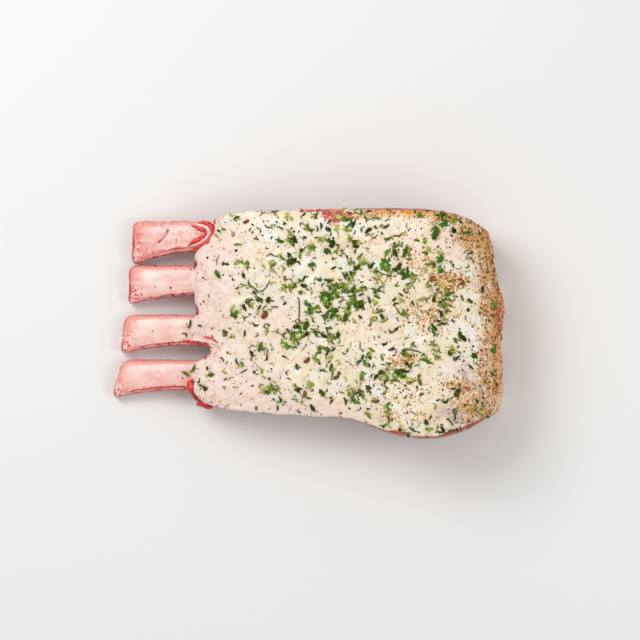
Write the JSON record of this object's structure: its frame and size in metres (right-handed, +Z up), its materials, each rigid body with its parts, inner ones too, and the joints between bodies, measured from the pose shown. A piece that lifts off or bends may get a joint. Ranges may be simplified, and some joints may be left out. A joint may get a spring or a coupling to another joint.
{
  "type": "rack of lamb",
  "caption": "Frenched rack of lamb: bare rib bones fanning from a slab of meat under a smooth fat cap, raw and seasoned, resting on its rib tips and chine side.",
  "frame": {"origin": "middle of the bounding box, at the height of the surface the rack rests on", "axes": "+X from the bare rib tips to the chine side, +Y across the ribs towards rib_1, +Z up through the fat cap"},
  "size_m": [0.1804, 0.1056, 0.0491],
  "materials": {
    "fat": "moist and waxy",
    "lean": "moist",
    "bone": "satin"
  },
  "bodies": {
    "root": {"fat_cap": "fat", "seam_fat": "fat", "cap_muscle": "lean", "loin_eye": "lean", "rib_meat": "lean", "rib_1": "bone", "rib_2": "bone", "rib_3": "bone", "rib_4": "bone"}
  },
  "joints": []
}
